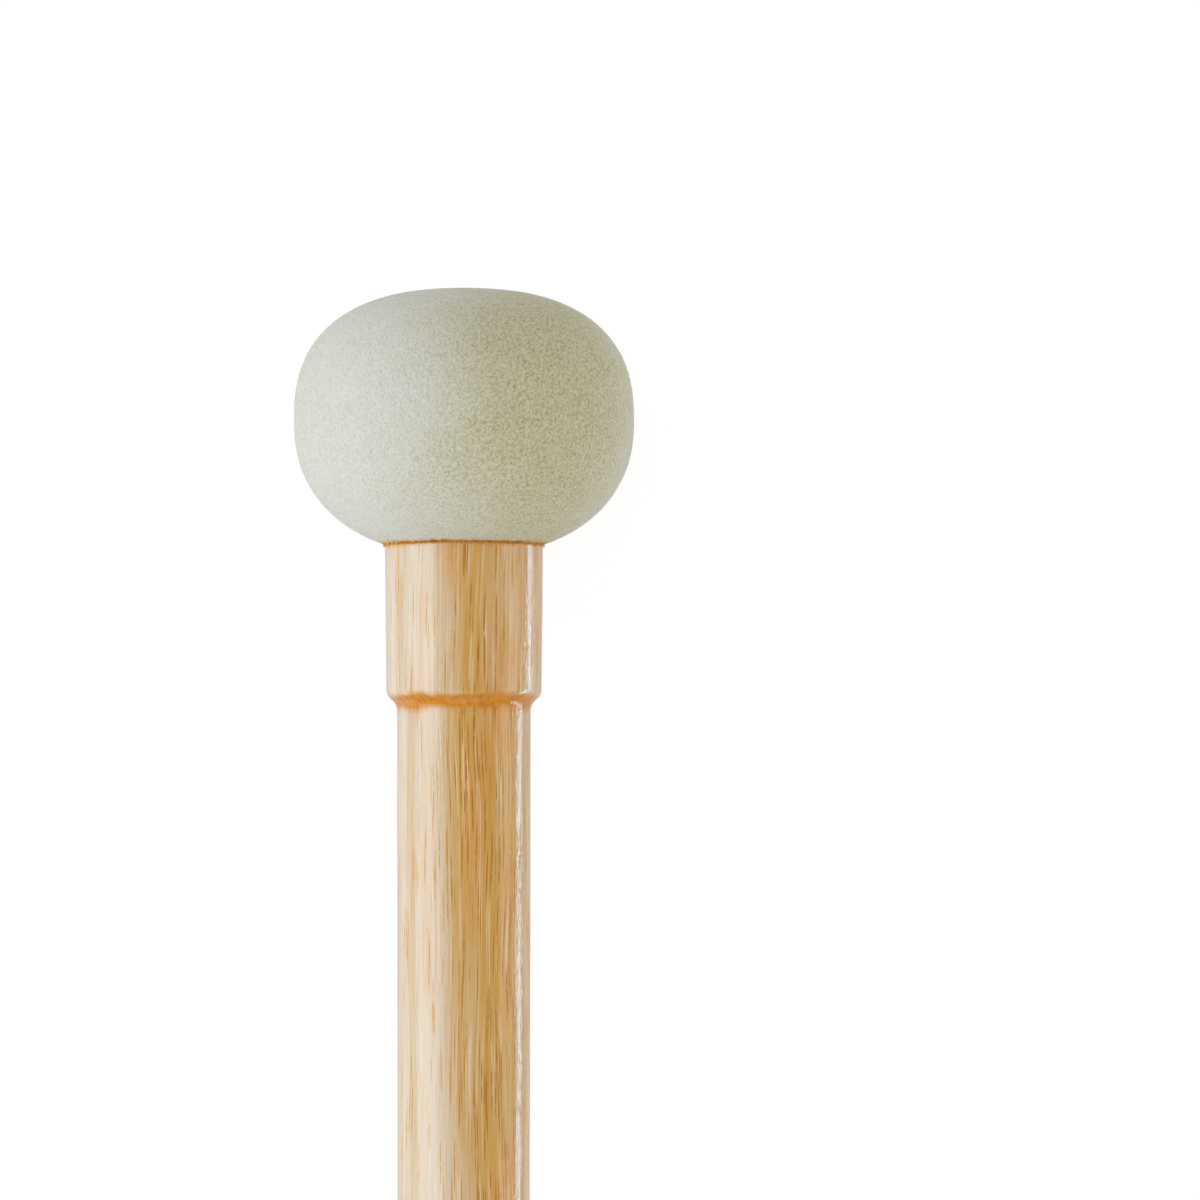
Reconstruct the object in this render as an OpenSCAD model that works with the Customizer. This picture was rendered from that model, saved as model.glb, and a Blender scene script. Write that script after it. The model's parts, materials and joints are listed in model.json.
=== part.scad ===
// Bass drum mallet: a hard felt head, turned to a flattened ball, glued on the
// tenon of a one-piece turned hickory handle. The handle has a domed butt, a
// palm swell, a waist, a slightly tapered shaft and a shouldered collar that
// the felt seats on. Millimetres.
//
// Every piece is a body of revolution about the mallet's own axis. Outlines are
// lists of [radius, height] points, with height 0 at the butt end. The mallet
// is then laid down as it rests on a table: on the belly of the head and the
// edge of the butt, with the head towards +X.

/* [Mallet] */
// Length of the whole mallet, from the butt end to the crown of the head
overall_l = 375; // [340:1:420]

/* [Butt and palm swell] */
// Diameter of the straight stretch at the butt end
butt_d = 20.2; // [19:0.1:21]
// Length of the butt, from its end to where the palm swell begins
butt_l = 58; // [45:1:75]
// Radius of the shallow dome across the butt end
butt_dome_r = 26; // [20:1:60]
// Radius of the round between the dome and the side of the butt
butt_edge_r = 4.8; // [2:0.2:6]
// Largest diameter of the palm swell
swell_d = 21.2; // [20:0.1:24]
// Distance from the butt end to where the palm swell is full
swell_full = 95; // [85:1:98]
// Distance from the butt end to where the palm swell starts to fall
swell_fall = 103; // [100:1:110]
// Distance from the butt end to the waist
waist_at = 129.5; // [120:0.5:150]
// Diameter of the waist, the thinnest place of the handle
waist_d = 18.5; // [16:0.1:19]

/* [Shaft and collar] */
// Diameter of the shaft where it meets the collar
shaft_d = 19.1; // [17:0.1:20]
// Length of the collar, from the felt to the corner of its shoulder
collar_l = 21.5; // [12:0.5:35]
// Diameter of the collar at its lower corner
collar_d = 22.2; // [21.2:0.1:25]
// Diameter of the collar under the felt
seat_d = 22.6; // [21.2:0.1:25]
// Radius of the round on the collar's lower corner
shoulder_r = 1.5; // [0.5:0.1:1.8]
// Radius of the hollow between the shoulder and the shaft
fillet_r = 2; // [1:0.1:2.5]
// Radius of the eased edge of the collar under the felt
seat_edge_r = 0.5; // [0.2:0.1:1]

/* [Tenon and glue] */
// Diameter of the tenon that the head is glued on
tenon_d = 12.7; // [10:0.1:15]
// Length of the tenon above the collar
tenon_l = 26; // [18:0.5:28]
// Width of the chamfer on the end of the tenon
tenon_chamfer = 1.2; // [0.5:0.1:2]
// Thickness of the glue film round the tenon
glue_t = 0.15; // [0.1:0.05:0.4]
// Depth of the glue left between the tenon and the bottom of the bore
glue_pool = 0.8; // [0.4:0.1:2]

/* [Felt head] */
// Largest diameter of the head
head_d = 48.6; // [42:0.2:60]
// Height of the head, from its seat to its crown
head_h = 36.5; // [34:0.5:44]
// Height of the widest place above the seat
belly_h = 17.7; // [16:0.1:18.5]
// Squareness of the crown: 2 is an ellipse and more is fuller
crown_power = 2.48; // [2:0.01:3]
// Squareness of the underside: 2 is an ellipse and more is fuller
skirt_power = 2.27; // [2:0.01:3]
// Depth below the belly at which the underside would close, had it no seat
skirt_reach = 19.35; // [18.8:0.05:22]

/* [Hidden] */

// Facets round the axis, and points along each kind of curve
$fn = 96;
dome_steps = 3;
edge_steps = 7;
swell_steps = 9;
waist_steps = 13;
corner_steps = 4;
head_steps = 18;
tilt_tries = 36;

seam_at = overall_l - head_h;
bore_r = tenon_d / 2 + glue_t;
bore_l = tenon_l + glue_pool;

// Points along an arc about [radius, height] c, from angle a0 to angle a1
function arc(c, r, a0, a1, steps) = [
    for (i = [0:steps])
        let (a = a0 + (a1 - a0) * i / steps)
        c + r * [cos(a), sin(a)]
];

// Points along half a cosine wave from p0 to p1, level at both ends, p0 left out
function ease(p0, p1, steps) = [
    for (i = [1:steps])
        let (along = i / steps, across = (1 - cos(180 * along)) / 2)
        [p0[0] + (p1[0] - p0[0]) * across, p0[1] + (p1[1] - p0[1]) * along]
];

// One point of a superellipse of half width w and half height h
function superellipse(w, h, power, t) = [w * pow(cos(t), 2 / power), h * pow(sin(t), 2 / power)];

// The domed end: a shallow arc over the axis that runs into the edge's round
edge_c = [
    butt_d / 2 - butt_edge_r,
    butt_dome_r - sqrt(pow(butt_dome_r - butt_edge_r, 2) - pow(butt_d / 2 - butt_edge_r, 2))
];
edge_a = asin(edge_c[0] / (butt_dome_r - butt_edge_r));
dome_points = [
    for (i = [0:dome_steps - 1])
        let (a = edge_a * i / dome_steps)
        [butt_dome_r * sin(a), butt_dome_r * (1 - cos(a))]
];
butt_outline = concat(
    dome_points,
    arc(edge_c, butt_edge_r, edge_a - 90, 0, edge_steps),
    [[butt_d / 2, butt_l]]
);

// The palm swell rises and falls as half cosine waves, with a level crest
swell_outline = concat(
    ease([butt_d / 2, butt_l], [swell_d / 2, swell_full], swell_steps),
    [[swell_d / 2, swell_fall]],
    ease([swell_d / 2, swell_fall], [waist_d / 2, waist_at], waist_steps)
);

// The shoulder: a hollow off the shaft, a 45 degree bevel and a rounded corner
corner_at = seam_at - collar_l;
corner_c = [collar_d / 2 - shoulder_r, corner_at + shoulder_r * tan(22.5)];
fillet_c = [
    shaft_d / 2 + fillet_r,
    corner_at - (collar_d - shaft_d) / 2 - fillet_r * tan(22.5)
];
shoulder_outline = concat(
    arc(fillet_c, fillet_r, 180, 135, corner_steps),
    arc(corner_c, shoulder_r, -45, 0, corner_steps)
);

// The collar's eased top edge, the seat for the felt and the tenon
seat_outline = arc([seat_d / 2 - seat_edge_r, seam_at - seat_edge_r], seat_edge_r, 0, 90, corner_steps);
tenon_outline = [
    [tenon_d / 2, seam_at],
    [tenon_d / 2, seam_at + tenon_l - tenon_chamfer],
    [tenon_d / 2 - tenon_chamfer, seam_at + tenon_l],
    [0, seam_at + tenon_l]
];
handle_outline = concat(
    butt_outline,
    swell_outline,
    shoulder_outline,
    seat_outline,
    tenon_outline
);

// The head: two quarter superellipses that share the belly, cut off at the seat
belly_at = seam_at + belly_h;
seat_t = asin(pow(belly_h / skirt_reach, skirt_power / 2));
head_outline = concat(
    [[0, seam_at]],
    [
        for (i = [head_steps:-1:1])
            let (p = superellipse(head_d / 2, skirt_reach, skirt_power, seat_t * i / head_steps))
            [p[0], belly_at - p[1]]
    ],
    [
        for (i = [0:head_steps])
            let (p = superellipse(head_d / 2, head_h - belly_h, crown_power, 90 * i / head_steps))
            [p[0], belly_at + p[1]]
    ]
);

// How far an outline reaches below the axis of a mallet tilted head up by a
function reach(outline, a) = max([for (p = outline) p[0] * cos(a) - p[1] * sin(a)]);

// The tilt at which the head and the handle touch the table together
function resting_tilt(low, high, tries) =
    let (mid = (low + high) / 2)
    tries == 0 ? mid
    : reach(head_outline, mid) > reach(handle_outline, mid) ? resting_tilt(mid, high, tries - 1)
    : resting_tilt(low, mid, tries - 1);

tilt = resting_tilt(0, 10, tilt_tries);
lift = reach(head_outline, tilt);
far_x = max([for (p = head_outline) p[1] * cos(tilt) + p[0] * sin(tilt)]);
near_x = min([for (p = handle_outline) p[1] * cos(tilt) - p[0] * sin(tilt)]);

// Lays a piece down beside the others, with the origin under the middle
module lying() {
    translate([-(far_x + near_x) / 2, 0, lift])
        rotate([0, 90 - tilt, 0])
            children();
}

// Turned hickory, from the domed butt to the tenon, in one piece
module handle() {
    color([0.86, 0.75, 0.56])
        lying()
            rotate_extrude()
                polygon(handle_outline);
}

// The blind bore in the head, filled by the tenon and its glue
module bore(below) {
    translate([0, 0, seam_at - below])
        cylinder(r = bore_r, h = bore_l + below);
}

// Pressed wool felt, turned to shape and brushed
module felt_head() {
    color([0.80, 0.80, 0.73])
        lying()
            difference() {
                rotate_extrude()
                    polygon(head_outline);
                bore(below = 1);
            }
}

// Cured glue: a thin sleeve round the tenon and a little over its end
module tenon_glue() {
    color([0.83, 0.70, 0.42])
        lying()
            difference() {
                bore(below = 0);
                rotate_extrude()
                    polygon(handle_outline);
            }
}

handle();
felt_head();
tenon_glue();
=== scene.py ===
"""A bass drum mallet: the looks of a hard felt head on a turned hickory handle.

Sizes in the classes are millimetres, measured along the mallet's own axis from
the butt end. Everything that reaches Blender is in metres in the frame's own
coordinates, where the mallet lies at rest with its head towards +X.
"""

import json
import logging
import math
from collections.abc import Callable
from dataclasses import dataclass
from enum import Enum
from functools import partial

import bpy
import numpy as np
from mathutils import Matrix, Vector


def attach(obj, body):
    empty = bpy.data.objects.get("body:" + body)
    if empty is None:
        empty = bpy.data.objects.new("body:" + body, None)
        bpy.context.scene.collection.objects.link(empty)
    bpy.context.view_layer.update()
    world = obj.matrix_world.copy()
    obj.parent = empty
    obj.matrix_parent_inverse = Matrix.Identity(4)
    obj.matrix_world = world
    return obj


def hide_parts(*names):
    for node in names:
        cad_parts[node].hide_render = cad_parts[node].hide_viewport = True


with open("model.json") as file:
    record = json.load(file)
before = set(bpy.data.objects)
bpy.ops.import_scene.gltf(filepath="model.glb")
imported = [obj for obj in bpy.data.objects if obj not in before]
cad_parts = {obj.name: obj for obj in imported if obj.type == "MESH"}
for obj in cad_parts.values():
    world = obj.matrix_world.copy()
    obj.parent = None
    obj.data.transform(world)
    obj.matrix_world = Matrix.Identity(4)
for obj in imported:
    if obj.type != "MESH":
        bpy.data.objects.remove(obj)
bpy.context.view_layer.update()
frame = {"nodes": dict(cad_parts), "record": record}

MM = 0.001
TINY = 1e-9
BODY = "root"
GRIP_AT = 99.0  # the record's grip mount, in millimetres from the butt end
log = logging.getLogger("mallet")

Array = np.ndarray
Pair = tuple[float, float]
Triple = tuple[float, float, float]
Socket = bpy.types.NodeSocket
Add = Callable[..., Socket]  # add_node for one node tree

# What many shader nodes share: settings, and kinds with their settings and outputs.
PLUS = {"operation": "ADD"}
MINUS = {"operation": "SUBTRACT"}
TIMES = {"operation": "MULTIPLY"}
TIMES_PLUS = {"operation": "MULTIPLY_ADD"}
MOST = {"operation": "MAXIMUM"}
MIX = "Mix", {"data_type": "RGBA"}, 2
RANGE = "MapRange", {"interpolation_type": "SMOOTHSTEP"}
ACROSS = "SeparateXYZ", None, "Y"
ALONG = "SeparateXYZ", None, "Z"

# What scatters and stirs the bits of a lattice corner's hash.
SCATTER = (73856093, 19349663, 83492791)
SEED_SCATTER = 2654435
STIR = ((13, 1274126177), (15, 668265263))
BITS = 0x7FFFFFFF

WHITE = (1.0, 1.0, 1.0, 1.0)
NOISE_MEAN = (0.5, 0.5, 0.5)


class Slot(Enum):
    """The names of the record's material slots for the handle and the head."""

    HANDLE = "lacquered_hickory"
    HEAD = "wool_felt"


class Seed(Enum):
    """The seeds of all that is random."""

    RIPPLE = 11
    LUMPS = 3
    TUFTS = 5
    NAP = 23
    RIM = 31


def linear(colour: str) -> tuple[float, float, float, float]:
    """Turn a written sRGB colour into the linear one that a shader reads.

    Args:
        colour: six hex digits after a hash sign.

    Returns:
        Linear red, green and blue, and an alpha of 1.
    """
    channels = [int(colour[i:i + 2], 16) / 255 for i in (1, 3, 5)]
    lit = [c / 12.92 if c <= 0.04045 else ((c + 0.055) / 1.055) ** 2.4 for c in channels]
    return (*lit, 1.0)


def add_node(tree: bpy.types.NodeTree, kind: str, settings: dict | None = None, output: int | str = 0,
             **inputs: object) -> Socket | None:
    """Add one shader node with its settings, values and links.

    Args:
        tree: the material's or world's node tree.
        kind: the node's type name, without the leading "ShaderNode".
        settings: attributes to set on the node.
        output: the name or the number of the output that is used.
        **inputs: a value or an output socket for each input, by its name with
            underscores for spaces, or by "i" and its number.

    Returns:
        The output socket, or None where the node has none.
    """
    node = tree.nodes.new("ShaderNode" + kind)
    for name, value in (settings or {}).items():
        setattr(node, name, value)
    for name, value in inputs.items():
        numbered = name[0] == "i" and name[1:].isdigit()
        socket = node.inputs[int(name[1:]) if numbered else name.replace("_", " ")]
        if isinstance(value, Socket):
            tree.links.new(value, socket)
        else:
            socket.default_value = value
    return node.outputs[output] if node.outputs else None


def adder(owner: bpy.types.Material | bpy.types.World) -> Add:
    """Empty a node tree, and bind add_node to it.

    Args:
        owner: the material or the world that has the tree.

    Returns:
        A function that adds a node to the tree.
    """
    owner.use_nodes = True
    owner.node_tree.nodes.clear()
    return partial(add_node, owner.node_tree)


def shown(name: str, data: bpy.types.ID) -> bpy.types.Object:
    """Put an object in the scene, at the origin.

    Args:
        name: the object's name.
        data: its mesh, lamp or camera.

    Returns:
        The object.
    """
    made = bpy.data.objects.new(name, data)
    bpy.context.scene.collection.objects.link(made)
    return made


def lattice_noise(points: Array, cell: float, seed: Seed) -> Array:
    """Smooth random values over space.

    Each corner of a cubic lattice has a value from its hashed coordinates, and
    a point takes the smoothstep mean of the eight corners of its cell.

    Args:
        points: an array of points, (..., 3).
        cell: the lattice's spacing, in the points' unit.
        seed: picks one field out of many.

    Returns:
        Values from -1 to 1, one for each point.
    """
    scaled = points / cell
    corner = np.floor(scaled).astype(np.int64)
    share = scaled - corner
    share = share * share * (3 - 2 * share)
    total = np.zeros(points.shape[:-1])
    for offset in np.ndindex(2, 2, 2):
        at = corner + np.array(offset)
        mixed = np.bitwise_xor.reduce(at * np.array(SCATTER), axis=-1) ^ (seed.value * SEED_SCATTER)
        for shift, factor in STIR:
            mixed = ((mixed ^ (mixed >> shift)) * factor) & BITS
        weight = np.prod(np.where(np.array(offset) == 1, share, 1 - share), axis=-1)
        total += weight * (mixed / (BITS // 2) - 1)
    return total


def arc(centre: Pair, radius: float, start: float, end: float, steps: int) -> Array:
    """Points [radius, height] round a circle's centre, from one angle in degrees to another."""
    turn = np.radians(np.linspace(start, end, steps + 1))
    return np.array(centre) + radius * np.stack([np.cos(turn), np.sin(turn)], axis=-1)


def ease(start: Pair, end: Pair, steps: int) -> Array:
    """Draw half a cosine wave, which runs along the axis at both its ends.

    Args:
        start: its first point [radius, height].
        end: its last one.
        steps: how many steps it is drawn in.

    Returns:
        Points [radius, height] in order.
    """
    along = np.linspace(0, 1, steps + 1)[:, None]
    across = (1 - np.cos(np.pi * along)) / 2
    share = np.concatenate([across, along], axis=1)
    return np.array(start) + (np.array(end) - np.array(start)) * share


def run_of(outline: Array) -> Array:
    """How far along an outline each of its points lies."""
    return np.concatenate([[0], np.cumsum(np.linalg.norm(np.diff(outline, axis=0), axis=1))])


def unit(vectors: Array) -> Array:
    """Bring vectors, (n, 3), to a length of 1."""
    return vectors / np.maximum(np.linalg.norm(vectors, axis=1, keepdims=True), TINY)


def spun(radius: Array | float, height: Array | float, turn: Array) -> Array:
    """Points [r cos t, r sin t, h], which lie at radius r, height h and turn t about the axis."""
    return np.stack([radius * np.cos(turn), radius * np.sin(turn), height + 0 * turn], axis=-1)


def sideways(turn: Array) -> Array:
    """The direction round the axis at each turn."""
    return np.stack([-np.sin(turn), np.cos(turn), 0 * turn], axis=-1)


def for_rings(values: Array, around: int) -> Array:
    """Give each point of a turned skin its ring's value, and each pole its own."""
    return np.concatenate([values[:1], np.repeat(values[1:-1], around), values[-1:]])


def divided(outline: Array, longest: float) -> Array:
    """Divide an outline's long straight stretches.

    Args:
        outline: points [radius, height] in order.
        longest: the longest step allowed, in the same unit.

    Returns:
        The outline with every repeated point left out and more points between.
    """
    steps = np.linalg.norm(np.diff(outline, axis=0), axis=1)
    kept = outline[np.concatenate([[True], steps > TINY])]
    counts = np.ceil(np.linalg.norm(np.diff(kept, axis=0), axis=1) / longest).astype(int)
    runs = [np.linspace(a, b, n, endpoint=False) for a, b, n in zip(kept[:-1], kept[1:], counts)]
    return np.concatenate([*runs, kept[-1:]])


@dataclass(frozen=True)
class MalletAxis:
    """The mallet's own axis, where it lies in the frame.

    Attributes:
        butt: the centre of the butt end, in metres.
        up: the direction across the axis that faces up from the table.
        right: the direction across the axis that is level.
        along: the direction from the butt to the head.
    """

    butt: Vector
    up: Vector
    right: Vector
    along: Vector

    @classmethod
    def of_record(cls, record: dict) -> "MalletAxis":
        """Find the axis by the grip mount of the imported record.

        Args:
            record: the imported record.

        Returns:
            The axis.
        """
        grip = next(m for m in record["mounts"] if m["name"] == "grip")
        along = Vector(grip["axis"]).normalized()
        up = Vector((-along.z, 0, along.x))
        return cls(Vector(grip["pos_m"]) - along * GRIP_AT * MM, up, along.cross(up), along)

    def placed(self, points: Array) -> Array:
        """Carry points from the mallet's own millimetres to the frame's metres.

        Args:
            points: (..., 3), as distance up, right and along.

        Returns:
            The points in the frame, as an array of the same shape.
        """
        turn = np.array([self.up, self.right, self.along])
        return np.array(self.butt) + points * MM @ turn

    def rotation(self) -> Matrix:
        """The turn that carries the mallet's own directions to the frame's."""
        return Matrix((self.up, self.right, self.along)).transposed()

    def own(self, add: Add) -> Socket:
        """Add the mallet's own coordinates to a material.

        Args:
            add: adds a node to the material.

        Returns:
            Millimetres up, right and along from the middle of the butt end.
        """
        place = add("TexCoord", output="Object")
        return add(
            "Mapping", {"vector_type": "TEXTURE"}, Vector=place, Location=self.butt,
            Rotation=self.rotation().to_euler(), Scale=(MM, MM, MM),
        )


@dataclass
class Surface:
    """A mesh in whole arrays, before Blender has it.

    Attributes:
        points: (n, 3) in the mallet's own millimetres.
        corners: (m, 4) point numbers of each face, with the last one repeated
            for a triangle.
        uv: (m, 4, 2) map coordinates of each face's corners, in metres of
            surface, or None.
        marks: named values, one for each point, that a material reads.
        crease: edges sharper than this many degrees stay sharp.
    """

    points: Array
    corners: Array
    uv: Array | None
    marks: dict[str, Array]
    crease: float = 40.0

    def made(self, name: str, axis: MalletAxis) -> bpy.types.Object:
        """Put the surface into a Blender object that sits at the origin.

        Args:
            name: the piece's name.
            axis: where the mallet lies.

        Returns:
            The object, in the scene.
        """
        mesh = bpy.data.meshes.new(name)
        three = self.corners[:, 2] == self.corners[:, 3]
        sizes = np.where(three, 3, 4)
        used = np.ones(self.corners.shape, bool)
        used[three, 3] = False
        loops = self.corners[used]
        mesh.vertices.add(len(self.points))
        mesh.vertices.foreach_set("co", axis.placed(self.points).astype(np.float32).ravel())
        mesh.loops.add(len(loops))
        mesh.loops.foreach_set("vertex_index", loops.astype(np.int32))
        mesh.polygons.add(len(sizes))
        starts = np.concatenate([[0], np.cumsum(sizes)[:-1]])
        mesh.polygons.foreach_set("loop_start", starts.astype(np.int32))
        mesh.polygons.foreach_set("use_smooth", np.ones(len(sizes), bool))
        mesh.update(calc_edges=True)
        if self.uv is not None:
            layer = mesh.uv_layers.new(name="surface")
            layer.uv.foreach_set("vector", self.uv[used].astype(np.float32).ravel())
        for mark, values in self.marks.items():
            attribute = mesh.attributes.new(mark, "FLOAT", "POINT")
            attribute.data.foreach_set("value", values.astype(np.float32))
        mesh.validate()
        mesh.set_sharp_from_angle(angle=math.radians(self.crease))
        return shown(name, mesh)


def turned(outline: Array, around: int) -> tuple[Array, Array, Array]:
    """Turn an outline about the axis into a closed skin.

    Each point of the outline makes a ring, except the first and the last, which
    lie on the axis. Each ring is joined to the next, with fans of triangles at
    both poles. The map's seam runs along the underside.

    Args:
        outline: points [radius, height] in order, from the axis to the axis.
        around: how many points a ring has.

    Returns:
        The points, the faces' corners and the faces' map coordinates.
    """
    rings = outline[1:-1]
    turn = np.linspace(np.pi, 3 * np.pi, around, endpoint=False)
    grid = spun(rings[:, :1], rings[:, 1:], turn)
    points = np.concatenate([[[0, 0, outline[0, 1]]], grid.reshape(-1, 3), [[0, 0, outline[-1, 1]]]])
    number = 1 + np.arange(len(rings) * around).reshape(len(rings), around)
    ahead = np.roll(number, -1, axis=1)
    walls = np.stack([number[:-1], ahead[:-1], ahead[1:], number[1:]], axis=-1).reshape(-1, 4)
    first = np.stack([np.zeros(around, int), ahead[0], number[0], number[0]], axis=-1)
    top = np.full(around, len(points) - 1)
    last = np.stack([top, number[-1], ahead[-1], ahead[-1]], axis=-1)
    corners = np.concatenate([first, walls, last])

    run = run_of(outline) * MM
    width = 2 * np.pi * outline[:, 0].max() * MM / around
    low, high = np.meshgrid(np.arange(around) * width, run[1:-2])
    side = np.stack([low, low + width, low + width, low], axis=-1)
    reach = run[2:-1] - run[1:-2]
    height = np.stack([high, high, high + reach[:, None], high + reach[:, None]], axis=-1)
    wall_uv = np.stack([side, height], axis=-1).reshape(-1, 4, 2)
    step = np.arange(around) * width
    fans = [
        np.stack([
            np.stack([step + width / 2, *sides], axis=-1),
            np.stack([0 * step + pole, *[0 * step + ring] * 3], axis=-1),
        ], axis=-1)
        for sides, pole, ring in (
            ((step + width, step, step), run[0], run[1]),
            ((step, step + width, step + width), run[-1], run[-2]),
        )
    ]
    return points, corners, np.concatenate([fans[0], wall_uv, fans[1]])


@dataclass(frozen=True)
class Fade:
    """How a share grows between two values of what it follows.

    Attributes:
        start, full: the values where the share is least and most.
        most, least: the shares there.
    """

    start: float
    full: float
    most: float = 1.0
    least: float = 0.0

    def inputs(self) -> dict[str, float]:
        """Name the values as the inputs of a node that maps a range."""
        return {"From_Min": self.start, "From_Max": self.full, "To_Min": self.least, "To_Max": self.most}


@dataclass(frozen=True)
class Pattern:
    """Smooth noise, stretched over a material.

    Attributes:
        cells: how many of its cells lie in a millimetre, along each coordinate.
        detail: how many finer layers it has.
        fade: how the share that shows grows with the noise.
        rough: how strong each layer is, next to the one before.
    """

    cells: Triple
    detail: float
    fade: Fade = Fade(0.0, 1.0)
    rough: float = 0.5

    def noise(self, add: Add, place: Socket, output: int | str = 0) -> Socket:
        """Add the noise to a material.

        Args:
            add: adds a node to the material.
            place: coordinates in millimetres.
            output: the noise node's output that is used.

        Returns:
            Values round 0.5, or vectors of them from the output "Color".
        """
        cells = add("VectorMath", TIMES, i0=place, i1=self.cells)
        return add(
            "TexNoise", None, output, Vector=cells, Scale=1.0, Detail=self.detail, Roughness=self.rough,
        )

    def share(self, add: Add, place: Socket) -> Socket:
        """Add the noise and fade it to the share that shows."""
        return add(*RANGE, Value=self.noise(add, place), **self.fade.inputs())


@dataclass(frozen=True)
class LacqueredHickory:
    """Hickory, turned and sanded, under a clear gloss lacquer.

    To the eye it is straight grain in broad cream and tan bands, drawn over
    with fine pale threads and with thin amber lines where the lathe has opened
    the vessels. The bands run along the axis and stand in part for light and
    shade: cream to the left, where the main soft box falls, is partly painted
    light, and tan to the right, away from it, is partly painted shade. It turns
    saturated amber wherever the cut runs across the fibres. All of it lies under
    a thin clear skin that gives sharp lights, which the grain under it breaks up
    a little. Bundles of fibre and vessels are finer in real wood, and are drawn
    as coarse as the render can show.

    Colours that wood has where lacquer has pooled are called wet, and dry where
    it has run off. Lengths are millimetres, and across the grain they are to the
    right of the axis. A share called "in tan" or "in cream" belongs to that wood.

    Attributes:
        grain_lean, grain_true_at: the grain's angle to the axis, in degrees, and
            where along the axis it has moved nothing.
        threads: bundles of fibre, 0.17 mm across.
        vessel_sizes: the widest vessel of each size, and its share of half its
            cell.
        vessel_slender: how many times longer than wide a vessel is.
        vessel_chance: the chances from which a vessel opens, and is widest.
        vessel_chance_in_tan: how much tan wood adds to that.
        end_raggedness, seam_raggedness: how far the noise moves the edges of end
            grain and of the line of glue.
        dry_up_to: end grain nearer the butt than this is dry.
    """

    axis: MalletAxis
    cream: str = "#D2C2AA"
    tan: str = "#C89B4B"
    pale_fibre: str = "#E5DAC3"
    dark_fibre: str = "#BB8722"
    vessel_in_tan: str = "#A66A00"
    vessel_in_cream: str = "#CC9022"
    warm: str = "#D18F38"
    end_wet: str = "#CE8404"
    end_burnt: str = "#A46206"
    end_dry: str = "#C28B36"
    glued: str = "#DE9C33"
    grain_lean: float = 0.4
    grain_true_at: float = 300.0
    grain_wander: Pattern = Pattern((0.05, 0.05, 0.009), 1.0)
    grain_wander_by: Triple = (5.0, 5.0, 0.0)
    thread_wander: Pattern = Pattern((0.13, 0.13, 0.04), 1.0)
    thread_wander_by: Triple = (2.0, 0.0, 0.0)
    # Painted light and shade: cream left of the axis under the main light, tan to the right away from it,
    # paler again at the right edge under the right-hand lamp.
    shade_side_tan_comes: Fade = Fade(-5.8, 2.8)
    shade_side_tan_goes: Fade = Fade(3.6, 10.0, 0.55)
    growth_layers: Pattern = Pattern((0.55, 0.16, 0.012), 2.0, Fade(0.35, 0.70, 0.5))
    tanner_to_butt: Fade = Fade(250.0, 0.0, 0.26)
    tan_left_out: float = 0.2
    threads: Pattern = Pattern((1 / (2 * 0.17), 0.05, 0.0), 3.0)
    pale_threads: Fade = Fade(0.53, 0.70, 0.55)
    dark_threads: Fade = Fade(0.47, 0.34, 0.6)
    dark_in_cream: float = 0.35
    pores: Pattern = Pattern((2.6, 1.5, 0.0), 2.0, Fade(0.50, 0.72, 0.28))
    warm_patches: Pattern = Pattern((0.13, 0.13, 0.035), 2.0, Fade(0.49, 0.68))
    warm_beside: Fade = Fade(-7.8, -1.8)
    warm_specks: Pattern = Pattern((2.4, 0.7, 0.0), 2.0, Fade(0.25, 0.75, least=0.2))
    vessel_sizes: tuple[Pair, ...] = ((0.36, 0.26), (0.27, 0.30))
    vessel_slender: float = 32.0
    vessel_chance: Pair = (0.46, 1.0)
    vessel_chance_in_tan: float = 0.35
    vessel_edge: Fade = Fade(0.0, 0.12)
    vessel_gaps: Pattern = Pattern((0.8, 0.5, 0.0), 2.0, Fade(0.34, 0.52, least=0.4))
    vessel_ink: float = 0.95
    vessel_slope: float = 0.25
    vessel_depth: float = 0.03
    end_edges: Pattern = Pattern((0.22, 0.22, 0.05), 6.0, rough=0.62)
    end_blotches: Pattern = Pattern((1.9, 1.3, 0.8), 3.0, Fade(0.40, 0.70, 0.6))
    end_raggedness: float = 1.6
    end_shows: Fade = Fade(0.76, 1.64)
    seam_raggedness: float = 1.1
    seam_shows: Fade = Fade(0.88, 1.45, 0.9)
    dry_up_to: float = 60.0
    coat_wave: Pattern = Pattern((1.6, 1.6, 0.9), 4.0)
    coat_wave_height: float = 0.07
    wood_roughness: float = 0.6
    coat_roughness: float = 0.11
    coat_ior: float = 1.5

    def material(self) -> bpy.types.Material:
        """Build the material.

        Returns:
            The material, with its grain solid through the wood.
        """
        made = bpy.data.materials.new("turned_hickory_under_gloss_lacquer")
        add = adder(made)
        own = self.axis.own(add)
        skin = add("TexCoord", output="UV")
        skin = add("VectorMath", TIMES, i0=skin, i1=(1 / MM, 1 / MM, 0.0))
        sway = self.thread_wander.noise(add, own, "Color")
        sway = add("VectorMath", TIMES, i0=sway, i1=self.thread_wander_by)
        skin = add("VectorMath", PLUS, i0=skin, i1=sway)

        # The grain leans across the axis, and wanders by a few millimetres over a hand's breadth.
        lean = math.radians(self.grain_lean)
        leant = add(
            "Mapping", Vector=own, Location=(0.0, self.grain_true_at * math.sin(lean), 0.0),
            Rotation=(lean, 0.0, 0.0),
        )
        drift = self.grain_wander.noise(add, own, "Color")
        drift = add("VectorMath", MINUS, i0=drift, i1=NOISE_MEAN)
        drift = add("VectorMath", TIMES, i0=drift, i1=self.grain_wander_by)
        bent = add("VectorMath", PLUS, i0=leant, i1=drift)

        # How tan the wood is: grain, and painted shade on the side away from the main light.
        tone = self._bands_and_painted_shade(add, bent)
        colour = add(*MIX, i0=tone, i6=linear(self.cream), i7=linear(self.tan))
        colour = self._threaded(add, colour, tone, skin, own)

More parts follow.
